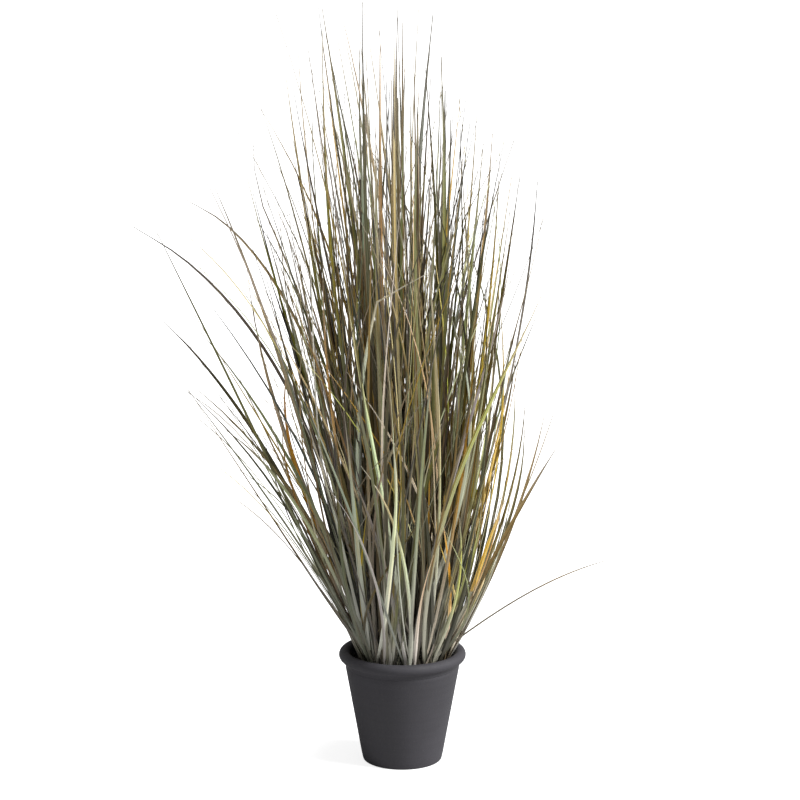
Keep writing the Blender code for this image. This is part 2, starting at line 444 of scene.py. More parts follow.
def makeSoilPlug(top, edge):
    bottom = pot["floor"] + 0.0003
    deselectAll()
    bpy.ops.mesh.primitive_cylinder_add(
        vertices=soil["sides"], radius=edge, depth=top - bottom, location=(0.0, 0.0, (top + bottom) / 2),
        end_fill_type="NGON",
    )
    plugMesh = bpy.context.object
    bakePlace(plugMesh)
    startEditing(plugMesh)
    bpy.ops.mesh.select_mode(type="FACE")
    lowShare = (wallAt(bottom) - pot["wall"] - soil["clearance"]) / edge
    selectWhere(plugMesh, lambda f: f.calc_center_median().z < bottom + 1e-5, "faces")
    bpy.ops.transform.resize(value=(lowShare, lowShare, 1.0))
    selectWhere(plugMesh, lambda f: f.calc_center_median().z > top - 1e-5, "faces")
    for ring in range(soil["rings"]):
        bpy.ops.mesh.inset(thickness=edge / (soil["rings"] + 1))
    bpy.ops.mesh.select_mode(type="VERT")
    stopEditing()
    return plugMesh


def roughenTop(mesh, top, edge, dice):
    # low frequency waves with a few small hollows, lower by the wall
    places = np.array([v.co for v in mesh.vertices])
    upper = places[:, 2] > top - 1e-5
    radius = np.hypot(places[:, 0], places[:, 1])
    lift = np.zeros(len(places))
    for _ in range(soil["waves"]):
        direction = dice.uniform(0, 2 * math.pi)
        wave = dice.uniform(*soil["waveNumber"])
        travelled = places[:, 0] * math.cos(direction) + places[:, 1] * math.sin(direction)
        lift += np.sin(wave * travelled + dice.uniform(0, 6.28)) / soil["waves"]
    sink = soil["edgeSink"] * smoothStep(0.75 * edge, edge, radius) + soil["unevenness"] * 0.6
    places[:, 2] += np.where(upper, lift * soil["unevenness"] - sink, 0.0)
    mesh.vertices.foreach_set("co", places.ravel())
    mesh.update()
    return places[upper]


def heightOn(surface, x, y):
    nearest = np.argmin((surface[:, 0] - x) ** 2 + (surface[:, 1] - y) ** 2)
    return surface[nearest, 2]


def copyPiece(piece):
    copied = piece.copy()
    copied.data = piece.data.copy()
    bpy.context.scene.collection.objects.link(copied)
    return copied


def scatter(master, count, nextPlace):
    # copies of the master, each with its own mesh moved to its place
    rest = np.array([v.co for v in master.data.vertices])
    copies = []
    for _ in range(count):
        copied = copyPiece(master)
        matrix, offset = nextPlace()
        copied.data.vertices.foreach_set("co", (rest @ matrix.T + offset).ravel())
        copied.data.update()
        copies.append(copied)
    return copies


def spin(dice):
    # a random turn in space
    axis = dice.normal(size=3)
    axis /= np.linalg.norm(axis)
    angle = dice.uniform(0, 2 * math.pi)
    cross = np.array([[0, -axis[2], axis[1]], [axis[2], 0, -axis[0]], [-axis[1], axis[0], 0]])
    return np.eye(3) + math.sin(angle) * cross + (1 - math.cos(angle)) * cross @ cross


def modelCrumb(dice):
    deselectAll()
    bpy.ops.mesh.primitive_ico_sphere_add(subdivisions=2, radius=1.0)
    crumb = bpy.context.object
    startEditing(crumb)
    bpy.ops.transform.resize(value=(1.0, 0.8, 0.7))
    stopEditing()
    for vertex in crumb.data.vertices:
        lumps = 0.15 * math.sin(3.1 * vertex.co.x + 2.0 * vertex.co.y)
        vertex.co *= 1.0 + 0.22 * (dice.random() - 0.5) + lumps
    return crumb


def modelChip():
    # a flat splinter of bark with chamfered edges
    deselectAll()
    bpy.ops.mesh.primitive_cube_add(size=1.0)
    chip = bpy.context.object
    startEditing(chip)
    bpy.ops.transform.resize(value=(1.0, 0.32, 0.16))
    selectWhere(chip, lambda v: v.co.x > 0)
    bpy.ops.transform.resize(value=(1.0, 0.45, 0.6))
    bpy.ops.mesh.select_all(action="SELECT")
    bpy.ops.mesh.bevel(offset=0.035, segments=1)
    stopEditing()
    return chip


def finishSoil():
    material, tree, shader = newMaterial("compost", 0.95)
    place = addNode(tree, "ShaderNodeTexCoord").outputs["Object"]
    spots = useGroup(tree, mottling, **{
        "Vector": place, "Patch Scale": soil["patchScale"], "Grain Scale": soil["grainScale"],
    })
    fibres = mapRange(tree, noiseAt(tree, place, soil["fibreScale"], 4.0, 0.75), 0.6, 0.7)
    colour = mixColour(tree, spots.outputs["Patches"], soil["dark"], soil["brown"])
    colour = tint(tree, colour, soil["bark"], fibres, 0.6)
    plug(tree, colour, shader.inputs["Base Color"])
    plug(tree, mapRange(tree, spots.outputs["Grain"], 0.0, 1.0, 0.88, 1.0), shader.inputs["Roughness"])
    addBump(tree, shader, spots.outputs["Grain"], 0.6, 0.0008)
    return material


def makeSoil():
    dice = np.random.default_rng(soil["seed"])
    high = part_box("soil")[1]
    top, edge = high.z, high.x - 0.0002
    plugMesh = makeSoilPlug(top, edge)
    surface = roughenTop(plugMesh.data, top, edge, dice)
    crumb, chip = modelCrumb(dice), modelChip()

    def lieOn(size):
        # the turn, size and place of a piece that lies half sunk on the surface
        angle, radius = dice.uniform(0, 2 * math.pi), (edge - 0.003) * math.sqrt(dice.random())
        x, y = polar(radius, angle)
        return spin(dice) * size, np.array([x, y, heightOn(surface, x, y) + size * 0.25])

    crumbs = scatter(crumb, soil["crumbs"], lambda: lieOn(dice.uniform(*soil["crumbSize"]) * 0.6))
    chips = scatter(chip, soil["chips"], lambda: lieOn(dice.uniform(*soil["chipLength"])))
    for master in (crumb, chip):
        bpy.data.objects.remove(master)
    selectOnly(plugMesh, *crumbs, *chips)
    bpy.ops.object.join()
    plugMesh.name = "compost"
    smoothByAngle(plugMesh, 35)
    coat(plugMesh, finishSoil())
    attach(plugMesh, "root")
    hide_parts("soil")


makeSoil()
print("soil filled in")


# leaves: a few masters are modelled once, and each leaf is a copy bent along its own spine

leafKinds = {
    "main": {"cuts": 22, "thickness": 0.085, "fold": 0.15, "rootWidth": 0.72, "fullAt": 0.14,
             "taper": 6.0, "point": 0.9, "tipWidth": 0.20},
    "broad": {"cuts": 13, "thickness": 0.085, "fold": 0.17, "rootWidth": 0.74, "fullAt": 0.15,
              "taper": 3.0, "point": 1.0, "tipWidth": 0.10},
    "tall": {"cuts": 14, "thickness": 0.085, "fold": 0.16, "rootWidth": 0.74, "fullAt": 0.15,
             "taper": 4.8, "point": 0.95, "tipWidth": 0.14},
    "narrow": {"cuts": 12, "thickness": 0.14, "fold": 0.20, "rootWidth": 0.85, "fullAt": 0.10,
               "taper": 2.2, "point": 0.95, "tipWidth": 0.22},
    "fibre": {"cuts": 9, "thickness": 0.7, "fold": 0.0, "rootWidth": 0.8, "fullAt": 0.05,
              "taper": 3.0, "point": 0.6, "tipWidth": 0.25},
}


def leafWidth(height, kind):
    swell = kind["rootWidth"] + (1.0 - kind["rootWidth"]) * min(1.0, height / kind["fullAt"])
    return max(kind["tipWidth"], swell * max(0.0, 1.0 - height ** kind["taper"]) ** kind["point"])


def modelLeaf(name):
    # a four sided bar pressed flat, cut into lengths, folded along its midrib and drawn to a point
    kind = leafKinds[name]
    deselectAll()
    bpy.ops.mesh.primitive_cylinder_add(vertices=4, radius=0.5, depth=1.0, location=(0.0, 0.0, 0.5))
    leaf = bpy.context.object
    leaf.name = name + "Leaf"
    bakePlace(leaf)
    startEditing(leaf)
    bpy.ops.transform.resize(value=(1.0, kind["thickness"], 1.0))
    heights = [(cut / (kind["cuts"] + 1)) for cut in range(1, kind["cuts"] + 1)]
    for height in heights:
        bpy.ops.mesh.select_all(action="SELECT")
        bpy.ops.mesh.bisect(plane_co=(0.0, 0.0, height), plane_no=(0.0, 0.0, 1.0))
    selectWhere(leaf, lambda v: abs(v.co.x) < 0.01)
    bpy.ops.transform.translate(value=(0.0, -kind["fold"], 0.0))
    for height in [0.0] + heights + [1.0]:
        selectWhere(leaf, lambda v: abs(v.co.z - height) < 0.001)
        width = leafWidth(height, kind)
        bpy.ops.transform.resize(value=(width, width, 1.0), center_override=(0.0, 0.0, height))
    bpy.ops.mesh.select_all(action="SELECT")
    bpy.ops.mesh.normals_make_consistent(inside=False)
    stopEditing()
    layOutLeaf(leaf)
    return leaf


def layOutLeaf(leaf):
    # attributes along and across the blade, and a strip of the texture map for each of its sides
    mesh = leaf.data
    while mesh.uv_layers:
        mesh.uv_layers.remove(mesh.uv_layers[0])
    mesh.uv_layers.new(name="OFBake")
    for name in ("leafAlong", "leafAcross", "leafTone", "leafAge", "leafSeed", "leafShade"):
        mesh.attributes.new(name, "FLOAT", "POINT")
    rest = np.array([v.co for v in mesh.vertices])
    along = rest[:, 2]
    across = np.where(np.abs(rest[:, 0]) < 0.005, 0.0, np.sign(rest[:, 0]))
    mesh.attributes["leafAlong"].data.foreach_set("value", along)
    mesh.attributes["leafAcross"].data.foreach_set("value", across)
    strips = mesh.uv_layers["OFBake"].data
    for face in mesh.polygons:
        under = face.normal.y < 0.0
        cap = abs(face.normal.z) > 0.9
        for corner, loop in enumerate(face.loop_indices):
            vertex = mesh.loops[loop].vertex_index
            u, v = 0.5 + 0.5 * across[vertex], 0.02 + 0.96 * along[vertex]
            if cap:
                u, v = (corner in (1, 2)) * 1.0, (0.004 if v < 0.5 else 0.986) + 0.01 * (corner > 1)
            strips[loop].uv = ((0.05 + 0.9 * u + (1.0 if under else 0.0)) / 2.0, v)


def bendLeaf(master, spine, look):
    # look: width, side direction, turn at the root, twist to the tip, tone, age, seed and shade
    rest, heights, level = master["rest"], master["heights"], master["level"]
    line = resample(spine, heights)
    tangent = np.gradient(line, heights, axis=0)
    tangent /= np.linalg.norm(tangent, axis=1)[:, None]
    side = look["side"] - (tangent @ look["side"])[:, None] * tangent
    side /= np.linalg.norm(side, axis=1)[:, None]
    normal = np.cross(tangent, side)
    turn = look["turn"] + look["twist"] * heights
    across = side * np.cos(turn)[:, None] + normal * np.sin(turn)[:, None]
    up = np.cross(tangent, across)
    places = line[level] + look["width"] * (across[level] * rest[:, :1] + up[level] * rest[:, 1:2])
    copied = copyPiece(master["piece"])
    copied.data.vertices.foreach_set("co", places.ravel())
    for trait in ("tone", "age", "seed", "shade"):
        values = copied.data.attributes["leaf" + trait.title()].data
        values.foreach_set("value", np.full(len(rest), look[trait]))
    return copied


def readMaster(piece):
    rest = np.array([v.co for v in piece.data.vertices])
    heights, level = np.unique(np.round(rest[:, 2], 4), return_inverse=True)
    return {"piece": piece, "rest": rest, "heights": heights, "level": level}


def resample(points, shares):
    # a smooth curve through the points, read at shares of its length
    points = np.asarray(points)
    steps = np.linalg.norm(np.diff(points, axis=0), axis=1)
    reach = np.concatenate([[0.0], np.cumsum(steps)]) / steps.sum()
    slopes = np.gradient(points, reach, axis=0)
    cell = np.clip(np.searchsorted(reach, shares, side="right") - 1, 0, len(points) - 2)
    span = (reach[cell + 1] - reach[cell])[:, None]
    t = (shares - reach[cell])[:, None] / span
    return ((2 * t**3 - 3 * t**2 + 1) * points[cell] + (t**3 - 2 * t**2 + t) * span * slopes[cell]
            + (3 * t**2 - 2 * t**3) * points[cell + 1] + (t**3 - t**2) * span * slopes[cell + 1])


def spineOfNode(name):
    # the middle of each ring of the CAD leaf, from its root to its tip
    cage = bmesh.new()
    cage.from_mesh(frame["nodes"][name].data)
    bmesh.ops.remove_doubles(cage, verts=cage.verts, dist=0.00002)
    lowest = min(v.co.z for v in cage.verts)
    ring = [v for v in cage.verts if v.co.z < lowest + 0.010]
    seen, spine = set(), []
    while ring:
        seen.update(ring)
        spine.append(np.mean([v.co for v in ring], axis=0))
        ring = list({e.other_vert(v) for v in ring for e in v.link_edges} - seen)
    cage.free()
    return np.array(spine)


# the clump

goldenAngle = math.radians(137.508)

clump = {
    "seed": 21,
    "plantedRadius": 0.0585,
    "rootDepth": 0.002,         # how far every root reaches into the soil
    "sway": (-0.032, 0.0, 0.0),  # the whole clump leans a little to its left
    "headingScatter": 0.85,     # radians between a leaf's heading and its root's
    "gathered": 0.82,           # how far the roots are drawn towards their nearest shoot
    "looseEdge": 0.60,          # the share by which that grows less towards the edge
    "shootSpread": 1.25,        # the shoots count as this much further out for it
    "spineSteps": 28,
    "flareReach": 0.07,         # the length of leaf that a flare at the root takes
    "wander": 0.13,             # how far a leaf snakes from side to side
    "wanderTurn": 3.1,
    "curl": 1.1,                # radians that a leaf turns round on its way up
    "twist": 1.1,               # radians that its blade twists
    "facing": 1.3,              # radians that its blade turns from facing outward
    "rightwardLean": 0.57,      # leaves that head to the right lean this much of the others' lean
    "rightwardLift": 5.0,       # and droop this many degrees less
    "length": (0.14, 0.86),     # no leaf is shorter or longer
    "shorten": 0.985,           # a leaf that leaves the box is cut to this share, until it fits
    "boxSpare": 0.006,
    "shadeBias": 1.42,          # above 1 there are more dark leaves than light ones
    "kinked": 0.03,             # share of leaves with a sharp bend near the tip
    "kinkAt": (0.75, 0.93),
    "kinkAngle": (15.0, 45.0),
    "shootWidth": (0.0048, 0.0072),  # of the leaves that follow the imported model's own
    "bladeWidth": (0.0036, 0.0052),
}

dryLeaf = {
    "count": 22,
    "reach": 0.7,               # share of the planted radius that they grow in
    "lean": (22.0, 7.0),        # at the edge, and its scatter
    "droop": (-10.0, 40.0),
    "length": (0.05, 0.17),
    "width": (0.0022, 0.0055),
    "age": (0.8, 1.0),
}

fibre = {
    "count": 130,
    "width": (0.0007, 0.0011),
    "length": (0.03, 0.09),
    "steps": 12,
    "opening": (0.2, 0.9),      # radians between a fibre and the leaf it springs from
    "curling": (-0.2, 0.7),
    "reach": 0.10,              # fibres stay this close to the middle line of the clump
    "tone": 1.0,
    "age": 0.3,
}

# ring is where a stand's roots lie, as shares of the planted radius; rootsAt and heading are (middle,
# spread) in degrees, and all round without them; lean is (in the middle, more at the edge, scatter),
# flare is the extra lean near the soil, droop and length are (mean, scatter), width and shade (least, most)
stands = [
    # the tall upright middle
    {"kind": "broad", "count": 78, "ring": (0.0, 0.68),
     "lean": (0.0, 8.5, 4.6), "droop": (-1.0, 15.0), "length": (0.655, 0.055),
     "width": (0.0030, 0.0056), "shade": (0.12, 1.85)},
    # the body of the clump round it
    {"kind": "broad", "count": 184, "ring": (0.45, 1.0),
     "lean": (1.0, 11.0, 4.3), "flare": 5.0, "droop": (1.5, 13.0), "length": (0.530, 0.10),
     "width": (0.0032, 0.0068), "shade": (0.12, 2.1)},
    # the tallest leaves, left and right of the middle
    {"kind": "tall", "count": 20, "ring": (0.0, 0.7), "heading": (180.0, 35.0),
     "lean": (1.4, 0.0, 1.1), "droop": (5.5, 6.0), "length": (0.790, 0.05),
     "width": (0.0032, 0.0052), "shade": (0.2, 1.7)},
    {"kind": "tall", "count": 14, "ring": (0.0, 0.7), "heading": (0.0, 35.0),
     "lean": (6.4, 0.0, 1.0), "droop": (0.0, 4.0), "length": (0.755, 0.05),
     "width": (0.0032, 0.0052), "shade": (0.25, 1.8)},
    # the few highest of all
    {"kind": "tall", "count": 7, "ring": (0.0, 0.5), "heading": (180.0, 25.0),
     "lean": (1.2, 0.0, 0.7), "droop": (2.5, 4.0), "length": (0.840, 0.02),
     "width": (0.0038, 0.0060), "shade": (0.5, 2.0)},
    # narrow leaves that cross the others
    {"kind": "narrow", "count": 104, "ring": (0.1, 0.9), "heading": (0.0, 180.0),
     "lean": (9.0, 0.0, 6.0), "droop": (0.0, 20.0), "length": (0.560, 0.13),
     "width": (0.0016, 0.0034), "shade": (0.18, 2.3)},
    # the left side: tall ones, a fuller middle height and low arches
    {"kind": "broad", "count": 14, "ring": (0.3, 0.9), "rootsAt": (180.0, 90.0), "heading": (180.0, 35.0),
     "lean": (6.0, 0.0, 2.5), "droop": (15.0, 6.0), "length": (0.710, 0.05),
     "width": (0.0032, 0.0052), "shade": (0.25, 1.7)},
    {"kind": "broad", "count": 16, "ring": (0.4, 1.0), "rootsAt": (180.0, 90.0), "heading": (180.0, 45.0),
     "lean": (10.2, 0.0, 4.5), "flare": 6.0, "droop": (7.0, 8.0), "length": (0.530, 0.11),
     "width": (0.0030, 0.0054), "shade": (0.25, 1.8)},
    {"kind": "broad", "count": 25, "ring": (0.78, 1.0), "rootsAt": (180.0, 60.0), "heading": (182.0, 50.0),
     "lean": (23.0, 0.0, 5.0), "flare": 7.0, "droop": (20.0, 11.0), "length": (0.385, 0.07),
     "width": (0.0022, 0.0048), "shade": (0.25, 1.6)},
    # the right side, straighter and curving up
    {"kind": "broad", "count": 54, "ring": (0.6, 1.0), "rootsAt": (0.0, 70.0), "heading": (0.0, 45.0),
     "lean": (14.5, 0.0, 3.5), "flare": 6.0, "droop": (-8.0, 5.0), "length": (0.400, 0.09),
     "width": (0.0032, 0.0058), "shade": (0.4, 2.1)},
    {"kind": "broad", "count": 36, "ring": (0.78, 1.0), "rootsAt": (0.0, 60.0), "heading": (0.0, 45.0),
     "lean": (23.0, 0.0, 4.0), "flare": 12.0, "droop": (-14.0, 6.0), "length": (0.28, 0.06),
     "width": (0.0026, 0.0052), "shade": (0.5, 2.1)},
    # the low skirt all round, and fine leaves everywhere
    {"kind": "broad", "count": 84, "ring": (0.8, 1.0),
     "lean": (14.0, 0.0, 5.5), "flare": 16.0, "droop": (6.0, 12.0), "length": (0.32, 0.08),
     "width": (0.0040, 0.0076), "shade": (0.18, 2.1)},
    {"kind": "narrow", "count": 106, "ring": (0.0, 1.0),
     "lean": (1.0, 12.5, 8.0), "flare": 3.0, "droop": (2.0, 16.0), "length": (0.60, 0.12),
     "width": (0.0015, 0.0029), "shade": (0.22, 2.2)},
]
dice = np.random.default_rng(clump["seed"])
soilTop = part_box("soil")[1].z


def growSpine(root, azimuth, lean, droop, length, curl, wander, kink=None, flare=0.0):
    # walks up from the root, leaning out and drooping more and more towards the tip
    steps = clump["spineSteps"]
    share = (np.arange(steps) + 0.5) / steps
    flaring = flare * np.exp(-share * length / clump["flareReach"])
    angle = lean + flaring + droop * share**2
    if kink:
        angle = angle + kink[1] * (share > kink[0])
    angle = np.radians(angle)
    heading = azimuth + curl * share
    step = np.stack([np.sin(angle) * np.cos(heading), np.sin(angle) * np.sin(heading), np.cos(angle)], 1)
    sideways = np.array([-math.sin(azimuth), math.cos(azimuth), 0.0])
    snaking = wander[0] * np.sin(clump["wanderTurn"] * share + wander[1])
    step += np.array(clump["sway"]) + sideways * snaking[:, None]
    step *= (length / steps / np.linalg.norm(step, axis=1))[:, None]
    return np.vstack([root, root + np.cumsum(step, axis=0)])


def insideBox(spine):
    spare = clump["boxSpare"]
    low, high = np.array(cadLow) - spare, np.array(cadHigh) + (spare, spare, 0.0)
    return bool((spine >= low).all() and (spine <= high).all())


def lookOf(width, azimuth):
    return {
        "width": width,
        "side": np.array([-math.sin(azimuth), math.cos(azimuth), 0.0]),
        "turn": dice.uniform(-clump["facing"], clump["facing"]),
        "twist": dice.normal(0.0, clump["twist"]),
        "tone": dice.random() * 0.9,     # the last tenth of each ramp is for the fibres
        "age": dice.random(),
        "seed": dice.random(),
        "shade": dice.uniform(0.5, 1.3),
    }


def aimed(direction):
    middle, spread = direction
    return math.radians(middle + dice.uniform(-spread, spread))


def rootAt(radius, angle):
    return np.array([*polar(radius, angle), soilTop - clump["rootDepth"]])


def rootOf(name):
    return spines[name][0][:2]


def gather(root, q):
    # draws a root towards the shoot that it belongs to
    centres = [rootOf(name) * clump["shootSpread"] for name in shoots]
    nearest = min(centres, key=lambda centre: np.hypot(*(centre - root[:2])))
    drawn = root.copy()
    drawn[:2] += clump["gathered"] * (1.0 - clump["looseEdge"] * q) * (nearest - root[:2])
    return drawn


def growLeaf(stand, index):
    # q is how far out the root lies, from 0 in the middle to 1 at the edge
    inner, outer = stand["ring"]
    q = math.sqrt(inner**2 + (outer**2 - inner**2) * (index + 0.5) / stand["count"])
    angle = aimed(stand["rootsAt"]) if "rootsAt" in stand else index * goldenAngle + 7.0 * outer
    root = gather(rootAt(clump["plantedRadius"] * q, angle), q)
    if "heading" in stand:
        azimuth = aimed(stand["heading"])
    else:
        azimuth = angle + dice.normal(0.0, clump["headingScatter"])
    lean = stand["lean"][0] + stand["lean"][1] * q**1.5 + dice.normal(0.0, stand["lean"][2])
    rightward = max(0.0, math.cos(azimuth))
    if "heading" not in stand:
        lean *= 1.0 - (1.0 - clump["rightwardLean"]) * rightward
    droop = dice.normal(*stand["droop"]) - clump["rightwardLift"] * rightward * q
    length = float(np.clip(dice.normal(*stand["length"]), *clump["length"]))
    width = dice.uniform(*stand["width"])
    curl = dice.normal(0.0, clump["curl"])
    wander = (abs(dice.normal(0.0, clump["wander"])), dice.uniform(0.0, 6.28))
    kink = (dice.uniform(*clump["kinkAt"]), dice.uniform(*clump["kinkAngle"]) * dice.choice([-1, 1]))
    if dice.random() > clump["kinked"]:
        kink = None
    flare = stand.get("flare", 0.0) * q
    spine = growSpine(root, azimuth, lean, droop, length, curl, wander, kink, flare)
    while not insideBox(spine):
        length *= clump["shorten"]
        spine = growSpine(root, azimuth, lean, droop, length, curl, wander, kink, flare)
    look = lookOf(width, azimuth)
    darkest, lightest = stand["shade"]
    look["shade"] = darkest + (lightest - darkest) * dice.random() ** clump["shadeBias"]
    return spine, look


def growDryLeaf(index):
    q = dryLeaf["reach"] * math.sqrt((index + 0.5) / dryLeaf["count"])
    angle = index * goldenAngle + 3.1
    root = rootAt(clump["plantedRadius"] * q, angle)
    lean = dryLeaf["lean"][0] * q**1.3 + dice.normal(0.0, dryLeaf["lean"][1])
    length = dice.uniform(*dryLeaf["length"])
    azimuth = angle + dice.normal(0.0, 0.6)
    droop, curl = dice.uniform(*dryLeaf["droop"]), dice.normal(0.0, 0.6)
    spine = growSpine(root, azimuth, lean, droop, length, curl, (0.1, 0.0))
    look = lookOf(dice.uniform(*dryLeaf["width"]), azimuth)
    look["age"] = dice.uniform(*dryLeaf["age"])
    return spine, look


def growFibre(start, along):
    # a hair that leaves a blade sideways and curls over
    axis = dice.normal(size=3)
    axis -= (axis @ along) * along
    axis /= np.linalg.norm(axis)
    length = dice.uniform(*fibre["length"])
    opening, curling = dice.uniform(*fibre["opening"]), dice.uniform(*fibre["curling"])
    places = [start]
    for step in range(fibre["steps"]):
        angle = opening + curling * (step / fibre["steps"])
        heading = along * math.cos(angle) + np.cross(axis, along) * math.sin(angle)
        places.append(places[-1] + heading * length / fibre["steps"])
    look = lookOf(dice.uniform(*fibre["width"]), 0.0)
    look.update(tone=fibre["tone"], age=fibre["age"], shade=1.0)
    return np.array(places), look


masters = {name: readMaster(modelLeaf(name)) for name in leafKinds}
spines = {name: spineOfNode(name) for name in grassNodes}
shoots = [name for name in grassNodes if name.startswith("shoot")]
tufts = {name: [] for name in grassNodes}
for name in grassNodes:
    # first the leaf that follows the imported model's own
    spine = spines[name].copy()
    spine[0, 2] = soilTop - clump["rootDepth"]
    outward = spine[-1] - spine[0]
    width = dice.uniform(*clump["shootWidth" if name.startswith("shoot") else "bladeWidth"])
    tufts[name].append(("main", spine, lookOf(width, math.atan2(outward[1], outward[0]))))


def nearestTuft(place):
    return min(grassNodes, key=lambda name: np.hypot(*(rootOf(name) - place[:2])))


for stand in stands:
    for index in range(stand["count"]):
        spine, look = growLeaf(stand, index)
        tufts[nearestTuft(spine[0])].append((stand["kind"], spine, look))
for index in range(dryLeaf["count"]):
    spine, look = growDryLeaf(index)
    tufts[nearestTuft(spine[0])].append(("broad", spine, look))
for index in range(fibre["count"]):
    # a fibre springs from somewhere in the middle half of a leaf
    tuft = tufts[grassNodes[index * 7 % len(grassNodes)]]
    spine = tuft[int(dice.integers(len(tuft)))][1]
    step = int(dice.integers(len(spine) // 4, len(spine) * 3 // 4))
    along = spine[step + 1] - spine[step]
    hair, look = growFibre(spine[step], along / np.linalg.norm(along))
    if insideBox(hair) and np.hypot(*hair[-1][:2]) < fibre["reach"]:
        tuft.append(("fibre", hair, look))
print("leaves planned:", sum(len(tuft) for tuft in tufts.values()))


# leaf colours: a ramp for each slot, read by every leaf's own number; its last stop is for the pale fibres

leafTones = {
    "leaf_sage": [
        (0.00, (0.150, 0.165, 0.085)), (0.25, (0.255, 0.300, 0.150)), (0.45, (0.390, 0.430, 0.245)),
        (0.60, (0.405, 0.500, 0.365)), (0.74, (0.430, 0.375, 0.410)), (0.90, (0.330, 0.300, 0.330)),
        (1.00, (0.850, 0.760, 0.520)),
    ],
    "leaf_olive": [
        (0.00, (0.065, 0.058, 0.018)), (0.25, (0.130, 0.130, 0.035)), (0.50, (0.225, 0.235, 0.065)),
        (0.66, (0.330, 0.350, 0.130)), (0.80, (0.250, 0.180, 0.070)), (0.90, (0.330, 0.320, 0.240)),
        (1.00, (0.850, 0.750, 0.480)),
    ],
    "leaf_ochre": [
        (0.00, (0.220, 0.175, 0.130)), (0.18, (0.390, 0.335, 0.350)), (0.34, (0.340, 0.225, 0.075)),
        (0.56, (0.370, 0.238, 0.090)), (0.76, (0.330, 0.140, 0.035)), (0.90, (0.400, 0.330, 0.220)),
        (1.00, (0.850, 0.750, 0.500)),
    ],
}
leafFinish = {
    "tip": (0.120, 0.100, 0.090, 1.0),
    "dry": (0.330, 0.215, 0.085, 1.0),
    "base": (0.385, 0.364, 0.322, 1.0),
    "streak": (0.435, 0.280, 0.055, 1.0),
    # pale: lighter stretches of the blade, and the painted highlight on its midrib and margins
    "paleAndHighlight": (0.660, 0.660, 0.470, 1.0),
    "dark": (0.040, 0.034, 0.014, 1.0),
    # across, along and from leaf to leaf: how fast each pattern changes
    "veinScale": (7.0, 1.5, 83.0),
    "streakScale": (0.9, 4.0, 41.0),
    "shadeScale": (0.4, 2.2, 17.0),
    "fleckScale": (2.2, 95.0, 29.0),
    # how much of each colour shows at most
    "streakShare": 0.40,
    "shadeShare": 0.18,
    "veinShare": 0.34,
    "baseShare": (0.18, 0.68),  # on dark leaves and on light ones
    "dryShare": 0.55,
    "tipShare": 0.50,
    "ribHighlightShare": 0.30,
    "marginHighlightShare": 0.35,
    "fleckShare": 0.45,
    "vividness": (0.74, 1.32),  # saturation, from leaf to leaf
    "vividBase": 0.76,          # and along each leaf: at its base, in its middle and at its tip
    "vividMiddle": 1.13,
    "vividTip": 0.62,
    "roughness": (0.40, 0.58),
    "specular": 0.35,
}


def bladeNoise(tree, blade, scales, detail, low, high):
    # noise on the blade's own coordinates: across it, along it and from leaf to leaf
    stretched = [mathNode(tree, "MULTIPLY", value, scale) for value, scale in zip(blade, scales)]
    return mapRange(tree, noiseAt(tree, combine(tree, *stretched), 1.0, detail), low, high)


